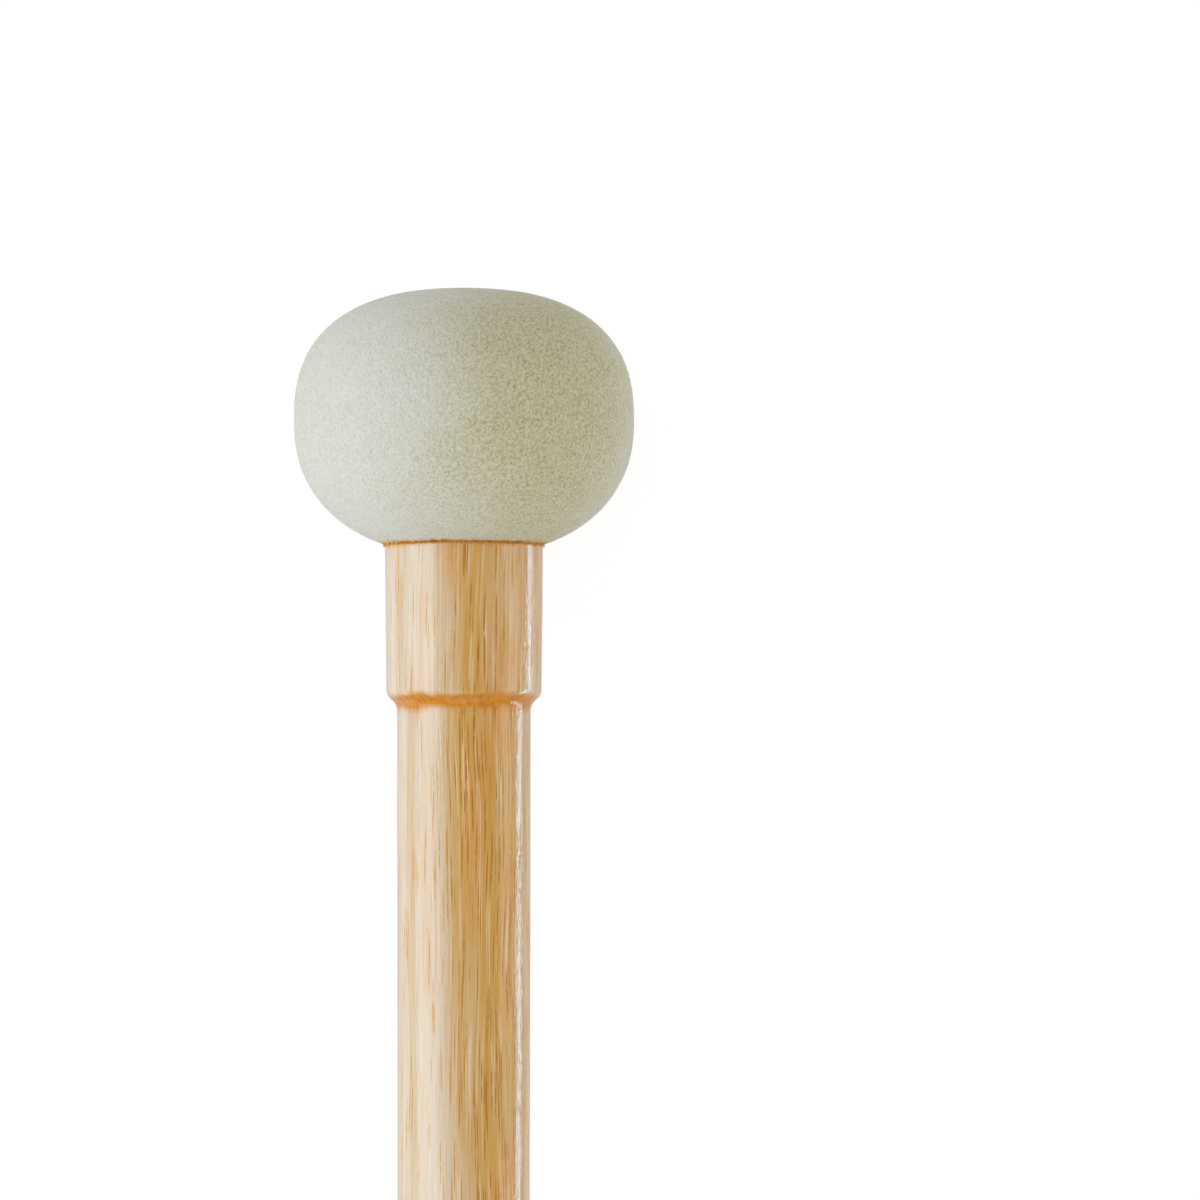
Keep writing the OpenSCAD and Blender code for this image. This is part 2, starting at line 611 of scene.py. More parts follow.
        # Vessels lie open in two sizes, and are broken here and there.
        wide, narrow = [self._opened(add, skin, tone, *size) for size in self.vessel_sizes]
        opened = add("Math", MOST, i0=wide, i1=narrow)
        opened = add("Math", TIMES, i0=opened, i1=self.vessel_gaps.share(add, skin))
        # Vessels are darker in tan wood and paler in cream, and so follow the painted light and shade of the
        # bands.
        vessel = add(*MIX, i0=tone, i6=linear(self.vessel_in_cream), i7=linear(self.vessel_in_tan))
        inked = add("Math", TIMES, i0=opened, i1=self.vessel_ink)
        colour = add(*MIX, i0=inked, i6=colour, i7=vessel)
        colour = self._cut_across(add, colour, bent)

        sunk = add(
            "Bump", {"invert": True}, Strength=self.vessel_slope,
            Distance=self.vessel_depth * MM, Height=opened,
        )
        wave = self.coat_wave.noise(add, bent)
        flow = add("Bump", Strength=1.0, Distance=self.coat_wave_height * MM, Height=wave, Normal=sunk)
        shade = add(
            "BsdfPrincipled", Base_Color=colour, Roughness=self.wood_roughness, Specular_IOR_Level=0.0,
            Normal=sunk, Coat_Weight=1.0, Coat_Roughness=self.coat_roughness, Coat_IOR=self.coat_ior,
            Coat_Normal=flow,
        )
        add("OutputMaterial", Surface=shade)
        return made

    def _bands_and_painted_shade(self, add: Add, bent: Socket) -> Socket:
        """Lay the wood out in broad soft bands across the axis.

        Tan rises to the right of the axis, which is painted shade on the side away
        from the main light, and pales again towards the right edge, which is painted
        light from the right-hand lamp. Layers of growth, standing upright side by
        side, and a tan that grows towards the butt are added.

        Args:
            add: adds a node to the material.
            bent: the wood's own coordinates, with the grain's wander.

        Returns:
            How tan the wood is, from 0 for cream to 1, painted light and shade included.
        """
        across = add(*ACROSS, i0=bent)
        # Painted shade: tan rises to the right of the axis, away from the main light, and pales again
        # towards the right edge, painted light from the right-hand lamp.
        shade_begins = add(*RANGE, Value=across, **self.shade_side_tan_comes.inputs())
        shade_ends = add(*RANGE, Value=across, **self.shade_side_tan_goes.inputs())
        tone = add("Math", MINUS, i0=shade_begins, i1=shade_ends)
        tone = add("Math", PLUS, i0=tone, i1=self.growth_layers.share(add, bent))
        along = add(*ALONG, i0=bent)
        ripe = add("MapRange", Value=along, **self.tanner_to_butt.inputs())
        tone = add("Math", PLUS, i0=tone, i1=ripe)
        return add("Math", MINUS | {"use_clamp": True}, i0=tone, i1=self.tan_left_out)

    def _threaded(self, add: Add, colour: Socket, tone: Socket, skin: Socket, own: Socket) -> Socket:
        """Draw the threads of fibre, the pores, and the warm patches at the tan band's edge.

        A layer of growth comes up flat there, and its threads show the most.

        Args:
            add: adds a node to the material.
            colour: the plain wood's colour.
            tone: how tan the wood is.
            skin: map coordinates, in millimetres.
            own: the wood's own coordinates.

        Returns:
            The colour with its threads.
        """
        threads = self.threads.noise(add, skin)
        pale = add(*RANGE, Value=threads, **self.pale_threads.inputs())
        dark = add(*RANGE, Value=threads, **self.dark_threads.inputs())
        dark = add("Math", MOST, i0=dark, i1=self.pores.share(add, skin))
        # Dark threads show less in cream wood, and so follow the painted light of the bands.
        share = add("Math", TIMES_PLUS, i0=tone, i1=1 - self.dark_in_cream, i2=self.dark_in_cream)
        dark = add("Math", TIMES, i0=dark, i1=share)

        across = add(*ACROSS, i0=own)
        nearby = add(*RANGE, Value=across, **self.warm_beside.inputs())
        specks = self.warm_specks.noise(add, skin)
        specks = add("MapRange", Value=specks, **self.warm_specks.fade.inputs())
        patch = add("Math", TIMES, i0=self.warm_patches.share(add, own), i1=nearby)
        patch = add("Math", TIMES, i0=patch, i1=specks)
        for share, dye in ((patch, self.warm), (dark, self.dark_fibre), (pale, self.pale_fibre)):
            colour = add(*MIX, i0=share, i6=colour, i7=linear(dye))
        return colour

    def _opened(self, add: Add, skin: Socket, tone: Socket, width: float, reach: float) -> Socket:
        """Draw the vessels that the cut has opened, as spindles along the grain.

        The skin is parted into long random cells with a spindle in each. The
        cell's own random number makes it thick or leaves it out, and tan wood
        has more and thicker ones than cream, so they follow the painted light and
        shade of the bands too.

        Args:
            add: adds a node to the material.
            skin: map coordinates, in millimetres.
            tone: how tan the wood is.
            width: the thickest spindle, in millimetres.
            reach: the thickest spindle's share of half its cell.

        Returns:
            How open the wood is, from 0 to 1.
        """
        lane = width / (2 * reach)
        cell = add("VectorMath", TIMES, i0=skin, i1=(1 / lane, 1 / (lane * self.vessel_slender), 0.0))
        flat = {"voronoi_dimensions": "2D"}
        away = add("TexVoronoi", flat, "Distance", Vector=cell, Scale=1.0)
        chance = add("TexVoronoi", flat, "Color", Vector=cell, Scale=1.0)
        chance = add("SeparateColor", i0=chance)
        chance = add("Math", TIMES_PLUS, i0=tone, i1=self.vessel_chance_in_tan, i2=chance)
        thick = add(*RANGE, Value=chance, **Fade(*self.vessel_chance, reach).inputs())
        inside = add("Math", MINUS, i0=thick, i1=away)
        return add(*RANGE, Value=inside, **self.vessel_edge.inputs())

    def _cut_across(self, add: Add, colour: Socket, bent: Socket) -> Socket:
        """Darken the wood where the cut runs across the fibres, and under the felt.

        It drinks the lacquer there, and the edges of those bands are as ragged
        as the threads.

        Args:
            add: adds a node to the material.
            colour: the grain's colour.
            bent: the wood's own coordinates, with the grain's wander.

        Returns:
            The finished colour.
        """
        along = add(*ALONG, i0=bent)
        pooled = add("Math", {"operation": "GREATER_THAN"}, i0=along, i1=self.dry_up_to)
        wet = add(*MIX, i0=pooled, i6=linear(self.end_dry), i7=linear(self.end_wet))
        ragged, blotch = self.end_edges.noise(add, bent), self.end_blotches.share(add, bent)
        for mark, edge, fade, dye in (
            ("end_grain", self.end_raggedness, self.end_shows, wet),
            ("glue_line", self.seam_raggedness, self.seam_shows, linear(self.glued)),
        ):
            share = add("Attribute", {"attribute_name": mark}, "Fac")
            share = add("Math", TIMES_PLUS, i0=ragged, i1=edge, i2=share)
            share = add(*RANGE, Value=share, **fade.inputs())
            stain = add(*MIX, i0=blotch, i6=dye, i7=linear(self.end_burnt))
            colour = add(*MIX, i0=share, i6=colour, i7=stain)
        return colour


@dataclass(frozen=True)
class BrushedWoolFelt:
    """Hard pressed wool felt, turned to shape and brushed.

    To the eye it is a dull, dense surface of short matted fibres: pale greenish
    ivory, mottled with small darker pits between the fibres and paler tops on
    the tufts, with no shine and only a faint bloom at the edge. The pits are
    painted shade in the hollows and the tops a painted highlight, and a broad
    yellower patch with more pits is painted shade on the side away from the
    main light.

    Lengths are millimetres.

    Attributes:
        seam_at: where the felt meets the wood, along the axis.
        pale, pit_shade, crest_highlight, stray: colours of the fibres, of the
        painted shade on the lowest and the painted highlight on the highest of
        them, and of the odd darker one.
        glued, soaked: colours of felt that has drunk glue, and of the specks
            where it has drunk most.
        tufts: tufts of fibre, 0.42 mm across.
        shade_patch_at: the middle of the painted shade on the side away from the
            main light, a yellower patch, up, right and along.
            shade_patch_fades, shade_patch_squash, shade_patch_drift: how the patch fades
            with the distance from there, what a distance each way counts for, and
            how far the patch's edge wanders.
        glue_reach, glue_wander: how far up the glue has crept, and how many
            times that its edge wanders.
    """

    axis: MalletAxis
    seam_at: float
    pale: str = "#D8D9D0"
    # Painted shade in the hollows between the tufts.
    pit_shade: str = "#9C9066"
    stray: str = "#CFCDB8"
    # Painted shade: the yellower side away from the main light.
    shaded_side_yellow: str = "#CDC9A8"
    # Painted highlight on the tops of the tufts.
    crest_highlight: str = "#E6EADF"
    glued: str = "#E2AE5C"
    soaked: str = "#7C4F1F"
    tufts: Pattern = Pattern((1 / 0.42, 1 / 0.42, 1 / 0.42), 4.0, rough=0.68)
    pit_shade_shows: Fade = Fade(0.61, 0.29, 0.85)
    crest_highlight_shows: Fade = Fade(0.56, 0.74, 0.25)
    tuft_slope: float = 0.8
    tuft_depth: float = 0.4
    # The painted shade on the side away from the main light: a cloudy, yellower patch with more pits.
    shade_patch_cloud: Pattern = Pattern((0.09, 0.09, 0.09), 3.0, rough=0.55)
    shade_patch_at: Triple = (18.0, 12.0, 356.0)
    shade_patch_fades: Fade = Fade(34.0, 11.0)
    shade_patch_squash: Triple = (1.0, 1.0, 0.5)
    shade_patch_drift: float = 14.0
    pits_outside_shade: float = 0.26
    glue_edge: Pattern = Pattern((1.8, 1.8, 1.8), 3.0)
    glue_specks: Pattern = Pattern((1.0, 1.0, 1.0), 3.0, Fade(0.5, 0.62, 0.7), 0.6)
    glue_reach: float = 0.32
    glue_wander: float = 4.0
    glue_cover: float = 0.9
    roughness: float = 0.95
    specular: float = 0.1
    nap_roughness: float = 0.9
    nap_specular: float = 0.2
    sheen: float = 0.08
    sheen_roughness: float = 0.5

    def material(self, fibres: bool) -> bpy.types.Material:
        """Build the material.

        Args:
            fibres: True for the loose fibres of the nap, which have a tone of
                their own and no pits.

        Returns:
            The material.
        """
        made = bpy.data.materials.new("brushed_wool_nap" if fibres else "pressed_wool_felt")
        add = adder(made)
        own = self.axis.own(add)
        glue_top = Fade(self.seam_at - self.glue_reach, self.seam_at - 2 * self.glue_reach, self.glue_cover)
        height = add(*ALONG, i0=own)
        ragged = self.glue_edge.noise(add, own)
        height = add("Math", TIMES_PLUS, i0=ragged, i1=-self.glue_wander * self.glue_reach, i2=height)
        glued = add(*RANGE, Value=height, **glue_top.inputs())
        specks = self.glue_specks.share(add, own)
        stain = add(*MIX, i0=specks, i6=linear(self.glued), i7=linear(self.soaked))
        if fibres:
            tone = add("Attribute", {"attribute_name": "tone"}, "Fac")
            layers = [(tone, linear(self.stray)), (glued, stain)]
            surface = {"Roughness": self.nap_roughness, "Specular_IOR_Level": self.nap_specular}
        else:
            tufts = self.tufts.noise(add, own)
            # Painted highlight on the tops of the tufts, painted shade in their hollows and on the side away
            # from the main light.
            high = add(*RANGE, Value=tufts, **self.crest_highlight_shows.inputs())
            side_shade, hollow_shade = self._painted_side_shade(add, own, tufts)
            layers = [
                (side_shade, linear(self.shaded_side_yellow)), (hollow_shade, linear(self.pit_shade)),
                (high, linear(self.crest_highlight)), (glued, stain),
            ]
            relief = add("Bump", Strength=self.tuft_slope, Distance=self.tuft_depth * MM, Height=tufts)
            surface = {
                "Roughness": self.roughness, "Specular_IOR_Level": self.specular, "Sheen_Weight": self.sheen,
                "Sheen_Roughness": self.sheen_roughness, "Normal": relief,
            }
        colour = linear(self.pale)
        for share, dye in layers:
            colour = add(*MIX, i0=share, i6=colour, i7=dye)
        shade = add("BsdfPrincipled", Base_Color=colour, **surface)
        add("OutputMaterial", Surface=shade)
        return made

    def _painted_side_shade(self, add: Add, own: Socket, tufts: Socket) -> tuple[Socket, Socket]:
        """Paint shade on the side of the head away from the main light: a broad cloudy patch, yellower,
        where more of the pits' painted shade shows.

        Args:
            add: adds a node to the material.
            own: the felt's own coordinates, in millimetres.
            tufts: the noise of the tufts.

        Returns:
            How much of the side's painted shade shows, and how much of the pits' painted shade, from 0 to 1.
        """
        away = add("VectorMath", MINUS, i0=own, i1=self.shade_patch_at)
        away = add("VectorMath", TIMES, i0=away, i1=self.shade_patch_squash)
        away = add("VectorMath", {"operation": "LENGTH"}, "Value", i0=away)
        away = add("Math", TIMES_PLUS, i0=self.shade_patch_cloud.noise(add, own), i1=self.shade_patch_drift, i2=away)
        side_shade = add(*RANGE, Value=away, **self.shade_patch_fades.inputs())
        hollow_shade = add(*RANGE, Value=tufts, **self.pit_shade_shows.inputs())
        opened = add("Math", TIMES_PLUS, i0=side_shade, i1=1.0 - self.pits_outside_shade, i2=self.pits_outside_shade)
        return side_shade, add("Math", TIMES, i0=hollow_shade, i1=opened)


@dataclass(frozen=True)
class CuredGlue:
    """Wood glue, cured in a thin film.

    To the eye it would be a clear amber skin with small bubbles, were the joint
    ever broken open.

    The glue's colours are those of the film and of the bubbles in it, and its
    lengths are millimetres.
    """

    body: str = "#C99A45"
    bubble: str = "#E3C98C"
    bubble_across: float = 0.5
    bubble_fades: Fade = Fade(0.3, 0.1)
    bubble_slope: float = 0.3
    bubble_depth: float = 0.03
    roughness: float = 0.25

    def material(self) -> bpy.types.Material:
        """Build the material.

        Returns:
            The material.
        """
        made = bpy.data.materials.new("cured_wood_glue_film")
        add = adder(made)
        place = add("TexCoord", output="Object")
        cells = add("TexVoronoi", None, "Distance", Vector=place, Scale=1 / (self.bubble_across * MM))
        share = add("MapRange", Value=cells, **self.bubble_fades.inputs())
        colour = add(*MIX, i0=share, i6=linear(self.body), i7=linear(self.bubble))
        relief = add("Bump", Strength=self.bubble_slope, Distance=self.bubble_depth * MM, Height=cells)
        shade = add("BsdfPrincipled", Base_Color=colour, Roughness=self.roughness, Normal=relief)
        add("OutputMaterial", Surface=shade)
        return made


@dataclass
class TurnedHandle:
    """The one-piece hickory handle, from the domed butt to the tenon.

    The sizes are those of the solid that it stands for, in millimetres, and
    places are distances from the butt end. The steps are those that a curve of
    the outline is drawn in.

    Attributes:
        flank: how steeply the shoulder opens, in degrees. At 45 it climbs as
            far as it opens.
        around, longest: points round the handle, and the longest step along it.
        ripple, ripple_cells: the sanding's ripple, and its cells in a
            millimetre up, right and along.
        calm, calm_fade: how far under the felt the ripple ends, and fades.
        end_low, end_rise: how far across the fibres a cut starts to darken, and
            how much further it is darkest.
        end_fade, end_sag, end_gain: how far such a mark spreads, how far it
            sags towards the butt and how much it gains.
        glue_line: how far down from the felt the glue's mark reaches.
    """

    axis: MalletAxis
    seam_at: float = 338.5
    butt_r: float = 10.1
    butt_l: float = 58.0
    dome_r: float = 26.0
    edge_r: float = 4.8
    swell_r: float = 10.6
    swell_full: float = 95.0
    swell_fall: float = 103.0
    waist_r: float = 9.25
    waist_at: float = 129.5
    shaft_r: float = 9.55
    collar_l: float = 21.5
    collar_r: float = 11.1
    seat_r: float = 11.3
    shoulder_r: float = 1.5
    fillet_r: float = 2.0
    flank: float = 45.0
    seat_edge_r: float = 0.5
    tenon_r: float = 6.35
    tenon_l: float = 26.0
    tenon_chamfer: float = 1.2
    dome_steps: int = 12
    edge_steps: int = 24
    swell_steps: int = 36
    fillet_steps: int = 10
    shoulder_steps: int = 12
    seat_steps: int = 8
    around: int = 168
    longest: float = 0.8
    ripple: float = 0.012
    ripple_cells: Triple = (0.2, 0.2, 0.07)
    calm: float = 1.0
    calm_fade: float = 2.0
    end_low: float = 0.25
    end_rise: float = 0.45
    end_fade: float = 0.7
    end_sag: float = 0.6
    end_gain: float = 1.35
    glue_line: float = 1.3

    def outline(self) -> Array:
        """Work out the outline.

        Arcs make the dome, its edge, the shoulder's hollow and round and the
        eased edge under the felt. Half cosine waves make the palm swell rise
        and fall, and straight lines make the rest.

        Returns:
            Points [radius, height] from the butt's centre to the tenon's.
        """
        reach = self.dome_r - self.edge_r
        inward = self.butt_r - self.edge_r
        edge = (inward, self.dome_r - math.sqrt(reach**2 - inward**2))
        lean = math.degrees(math.asin(edge[0] / reach))
        slack = math.tan(math.radians(self.flank / 2))
        corner_at = self.seam_at - self.collar_l
        foot = corner_at - (self.collar_r - self.shaft_r)
        hollow = (self.shaft_r + self.fillet_r, foot - self.fillet_r * slack)
        corner = (self.collar_r - self.shoulder_r, corner_at + self.shoulder_r * slack)
        seat = (self.seat_r - self.seat_edge_r, self.seam_at - self.seat_edge_r)
        tip = self.seam_at + self.tenon_l
        return divided(np.concatenate([
            arc((0, self.dome_r), self.dome_r, -90, lean - 90, self.dome_steps),
            arc(edge, self.edge_r, lean - 90, 0, self.edge_steps),
            ease((self.butt_r, self.butt_l), (self.swell_r, self.swell_full), self.swell_steps),
            ease((self.swell_r, self.swell_fall), (self.waist_r, self.waist_at), self.swell_steps),
            arc(hollow, self.fillet_r, 180, 180 - self.flank, self.fillet_steps),
            arc(corner, self.shoulder_r, -self.flank, 0, self.shoulder_steps),
            arc(seat, self.seat_edge_r, 0, 90, self.seat_steps),
            [[self.tenon_r, self.seam_at], [self.tenon_r, tip - self.tenon_chamfer]],
            [[self.tenon_r - self.tenon_chamfer, tip], [0, tip]],
        ]), self.longest)

    def surface(self) -> Surface:
        """Turn the outline, and give it the faint ripple that sanding leaves.

        The radius gains the ripple times smooth noise stretched along the
        grain, and each point is marked with how far the cut there runs across
        the fibres, from 0 along them to 1 square across.

        Returns:
            The handle's surface.
        """
        outline = self.outline()
        points, corners, uv = turned(outline, self.around)
        noise = lattice_noise(points * np.array(self.ripple_cells), 1.0, Seed.RIPPLE)
        worked = np.clip((self.seam_at - self.calm - points[:, 2]) / self.calm_fade, 0, 1)
        points[:, :2] *= (1 + worked * self.ripple * noise / self.butt_r)[:, None]
        across = np.abs(unit(np.gradient(outline, axis=0))[:, 0])
        across[outline[:, 1] > self.seam_at - 2 * self.seat_edge_r] = 0
        across = self._spread(outline, np.clip((across - self.end_low) / self.end_rise, 0, 1))
        glued = np.clip(1 - (self.seam_at - points[:, 2]) / self.glue_line, 0, 1)
        marks = {"end_grain": for_rings(across, self.around), "glue_line": glued}
        return Surface(points, corners, uv, marks)

    def _spread(self, outline: Array, marks: Array) -> Array:
        """Let each mark fade into its neighbours and sag towards the butt.

        Each point takes the mean of the marks round the place that lies the sag
        further along the outline, weighed by a bell curve.

        Args:
            outline: points [radius, height] in order.
            marks: a value for each point.

        Returns:
            A mark for each point, from 0 to 1.
        """
        run = run_of(outline)
        bell = np.exp(-((run[:, None] + self.end_sag - run) / self.end_fade) ** 2) * np.gradient(run)
        return (bell @ marks / bell.sum(axis=1) * self.end_gain).clip(0, 1)

    def built(self) -> bpy.types.Object:
        """Make the handle and dress it in lacquered hickory.

        Returns:
            The handle.
        """
        piece = self.surface().made("turned_handle", self.axis)
        piece.data.materials.append(LacqueredHickory(self.axis).material())
        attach(piece, BODY)
        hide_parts("handle")
        return piece


@dataclass
class FeltHead:
    """The head of hard felt: a turned ball, flattened at both ends.

    The sizes are those of the solid that it stands for, in millimetres, and
    places are distances from the butt end. A pair of numbers is the least and
    the most that a fibre draws.

    Attributes:
        crown_power, skirt_power: the powers of the two superellipses.
        curve_steps: points along each of them.
        around, longest, bore_longest: points round the head, and the longest
            steps along its skin and its bore.
        lump, lump_across, tuft, tuft_across: the lumps' and the tufts' size.
        calm_fade: how far above the seam they are at full height.
        nap_bend, nap_lift: the spread of a loose fibre's bend, as a share of its
            length, and the shape and scale of the gamma curve of its lift.
        nap_start: how far above the skin it starts.
        rim_out, rim_up: where a fibre of the rim starts, from the seat's edge.
        rim_sway, rim_flare, rim_bend: how far it runs to either side and
            outwards, as shares of its length, and how far it bends.
    """

    axis: MalletAxis
    seam_at: float
    radius: float = 24.3
    height: float = 36.5
    belly_h: float = 17.7
    crown_power: float = 2.48
    skirt_power: float = 2.27
    skirt_reach: float = 19.35
    bore_r: float = 6.5
    bore_l: float = 26.8
    curve_steps: int = 120
    around: int = 440
    longest: float = 0.32
    bore_longest: float = 3.0
    lump: float = 0.03
    lump_across: float = 5.0
    tuft: float = 0.03
    tuft_across: float = 0.7
    calm_fade: float = 0.6
    nap_count: int = 15500
    nap_width: float = 0.03
    nap_reach: Pair = (0.3, 0.8)
    nap_bend: float = 0.35
    nap_lift: Pair = (1.4, 0.022)
    nap_start: float = 0.01
    rim_count: int = 1100
    rim_width: float = 0.07
    rim_reach: Pair = (0.1, 0.7)
    rim_out: Pair = (-0.16, 0.02)
    rim_up: Pair = (0.0, 0.35)
    rim_sway: float = 0.5
    rim_flare: Pair = (-0.05, 0.12)
    rim_bend: float = 0.12

    def skin(self) -> Array:
        """Work out the outline that shows.

        Two quarter superellipses share the belly: with x and y the shares of
        the half width and half height, x to the power plus y to the power is 1.

        Returns:
            Points [radius, height] from the seat's edge to the crown.
        """
        belly = self.seam_at + self.belly_h
        seat = math.asin((self.belly_h / self.skirt_reach) ** (self.skirt_power / 2))
        low = np.linspace(seat, 0, self.curve_steps)
        high = np.linspace(0, np.pi / 2, self.curve_steps)[1:]
        skirt, crown = [
            np.stack([
                self.radius * np.clip(np.cos(turn), 0, 1) ** (2 / power),
                belly + reach * np.sin(turn) ** (2 / power),
            ], axis=-1)
            for turn, reach, power in (
                (low, -self.skirt_reach, self.skirt_power),
                (high, self.height - self.belly_h, self.crown_power),
            )
        ]
        crown[-1, 0] = 0
        return np.concatenate([skirt, crown])

    def surface(self) -> Surface:
        """Turn the head with its bore, and give its skin the lie of felt.

        Each point of the skin moves out along the radius from the belly's
        centre by slow noise, for the lumps left by turning, and by quick noise,
        for the tufts of fibre.

        Returns:
            The head's surface.
        """
        end = self.seam_at + self.bore_l
        bore = np.array([[0, end], [self.bore_r, end], [self.bore_r, self.seam_at]])
        bore = divided(bore, self.bore_longest)
        skin = self._even(self.skin())
        points, corners, uv = turned(np.concatenate([bore, skin]), self.around)
        shows = for_rings(np.concatenate([np.zeros(len(bore)), np.ones(len(skin))]), self.around)
        shows *= np.clip((points[:, 2] - self.seam_at) / self.calm_fade, 0, 1)
        out = unit(points - np.array([0, 0, self.seam_at + self.belly_h]))
        push = self.lump * lattice_noise(points, self.lump_across, Seed.LUMPS)
        push += self.tuft * lattice_noise(points, self.tuft_across, Seed.TUFTS)
        points += out * (push * shows)[:, None]
        return Surface(points, corners, uv, {})

    def _even(self, outline: Array) -> Array:
        """Space an outline's points evenly.

        Args:
            outline: points [radius, height] in order.

        Returns:
            Points on the same line, none further apart than the longest step.
        """
        run = run_of(outline)
        at = np.linspace(0, run[-1], math.ceil(run[-1] / self.longest) + 1)
        return np.stack([np.interp(at, run, side) for side in outline.T], axis=-1)

    def nap(self) -> Surface:
        """Lay the loose fibres of the nap over the skin.

        Fibres start at random over the skin, with as many to each square
        millimetre anywhere. A fibre runs in any direction along the skin,
        bends to one side and lifts a little, as its start plus its length times
        s, plus its bend and its lift times s squared.

        Returns:
            The nap's surface.
        """
        draw = np.random.default_rng(Seed.NAP.value)
        count, column = self.nap_count, (self.nap_count, 1)
        skin = self._even(self.skin())
        step = np.diff(skin, axis=0)
        length = np.linalg.norm(step, axis=1)
        area = (skin[1:] + skin[:-1])[:, 0] / 2 * length
        row = draw.choice(len(area), count, p=area / area.sum())
        turn = draw.uniform(0, 2 * np.pi, count)
        share = draw.uniform(0, 1, column)
        radius, height = (skin[row] * (1 - share) + skin[row + 1] * share).T
        rise = step[row] / length[row, None]
        round_way, up_skin = sideways(turn), spun(rise[:, 0], rise[:, 1], turn)
        out = np.cross(round_way, up_skin)
        start = spun(radius, height, turn) + out * self.nap_start
        lie = draw.uniform(0, 2 * np.pi, column)
        ahead = round_way * np.cos(lie) + up_skin * np.sin(lie)
        reach = draw.uniform(*self.nap_reach, column)
        bend = np.cross(out, ahead) * (draw.normal(0, self.nap_bend, column) * reach)
        bend += out * draw.gamma(*self.nap_lift, column)
        tone = draw.uniform(0, 1, count) ** 2
        return self._strands(start, ahead * reach, bend, out, tone, self.nap_width)

    def rim(self) -> Surface:
        """Hang the fuzzy edge of the seat over the top of the collar.

        Fibres start round the seat's edge and run down the collar, a little
        outwards and to either side.

        Returns:
            The rim's surface.
        """
        draw = np.random.default_rng(Seed.RIM.value)
        count, column = self.rim_count, (self.rim_count, 1)
        turn = draw.uniform(0, 2 * np.pi, count)
        radius = self.skin()[0, 0] + draw.uniform(*self.rim_out, count)
        height = self.seam_at + draw.uniform(*self.rim_up, count)
        out, round_way = spun(1, 0, turn), sideways(turn)
        sway = np.array([0.0, 0.0, -1.0]) + round_way * draw.normal(0, self.rim_sway, column)
        reach = draw.uniform(*self.rim_reach, column)
        ahead = (sway + out * draw.uniform(*self.rim_flare, column)) * reach
        bend = round_way * draw.normal(0, self.rim_bend, column)
        tone = draw.uniform(0, 1, count) ** 2
        return self._strands(spun(radius, height, turn), ahead, bend, out, tone, self.rim_width)

    @staticmethod
    def _strands(start: Array, ahead: Array, bend: Array, out: Array,
                 tone: Array, width: float) -> Surface:
        """Make fibres of three sides, pointed at both ends.

        The line of a fibre is start + ahead s + bend s s, for s from 0 to 1,
        with a triangle of points round it at a third and at two thirds.

        Args:
            start: the fibres' first points.
            ahead: the way and the distance that each runs.
            bend: how far each has turned aside by its end.
            out: a direction across each fibre.
            tone: how dark each fibre is, from 0 to 1.
            width: how thick each fibre is in its middle.

        Returns:
            One surface with all the fibres.
        """
        side = unit(np.cross(ahead, out))
        over = unit(np.cross(side, ahead))
        stations = [start + ahead * s + bend * s * s for s in (0, 1 / 3, 2 / 3, 1)]
        spin = np.radians([90, 210, 330])[:, None]
        round_line = width / 2 * (over[:, None] * np.sin(spin) + side[:, None] * np.cos(spin))
        rings = [at[:, None] + round_line for at in stations[1:3]]
        points = np.concatenate([stations[0][:, None], *rings, stations[3][:, None]], axis=1)
        faces = [[0, 1 + (i + 1) % 3, 1 + i, 1 + i] for i in range(3)]
        faces += [[1 + i, 1 + (i + 1) % 3, 4 + (i + 1) % 3, 4 + i] for i in range(3)]
        faces += [[7, 4 + i, 4 + (i + 1) % 3, 4 + (i + 1) % 3] for i in range(3)]
        count = points.shape[1]
        corners = (np.array(faces)[None] + np.arange(len(points))[:, None, None] * count).reshape(-1, 4)
        return Surface(points.reshape(-1, 3), corners, None, {"tone": np.repeat(tone, count)})

    def built(self) -> list[bpy.types.Object]:
        """Make the head, its nap and its rim, and dress them in felt.

        Returns:
            The three pieces, in that order.
        """
        felt = BrushedWoolFelt(self.axis, self.seam_at)
        ball = self.surface().made("felt_ball", self.axis)
        ball.data.materials.append(felt.material(fibres=False))
        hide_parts("felt_head")
        loose = felt.material(fibres=True)
        nap = self.nap().made("felt_nap", self.axis)
        rim = self.rim().made("felt_rim_fuzz", self.axis)
        for piece in (nap, rim):
            piece.data.materials.append(loose)
        for piece in (ball, nap, rim):
            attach(piece, BODY)
        return [ball, nap, rim]


@dataclass
class GlueJoint:
    """The cured glue between the tenon and the felt, which keeps its solid."""

    def built(self) -> bpy.types.Object:
        """Dress the glue's own solid.

        Returns:
            The glue.
        """
        film = frame["nodes"]["tenon_glue"]
        film.data.materials.clear()
        film.data.materials.append(CuredGlue().material())
        return film


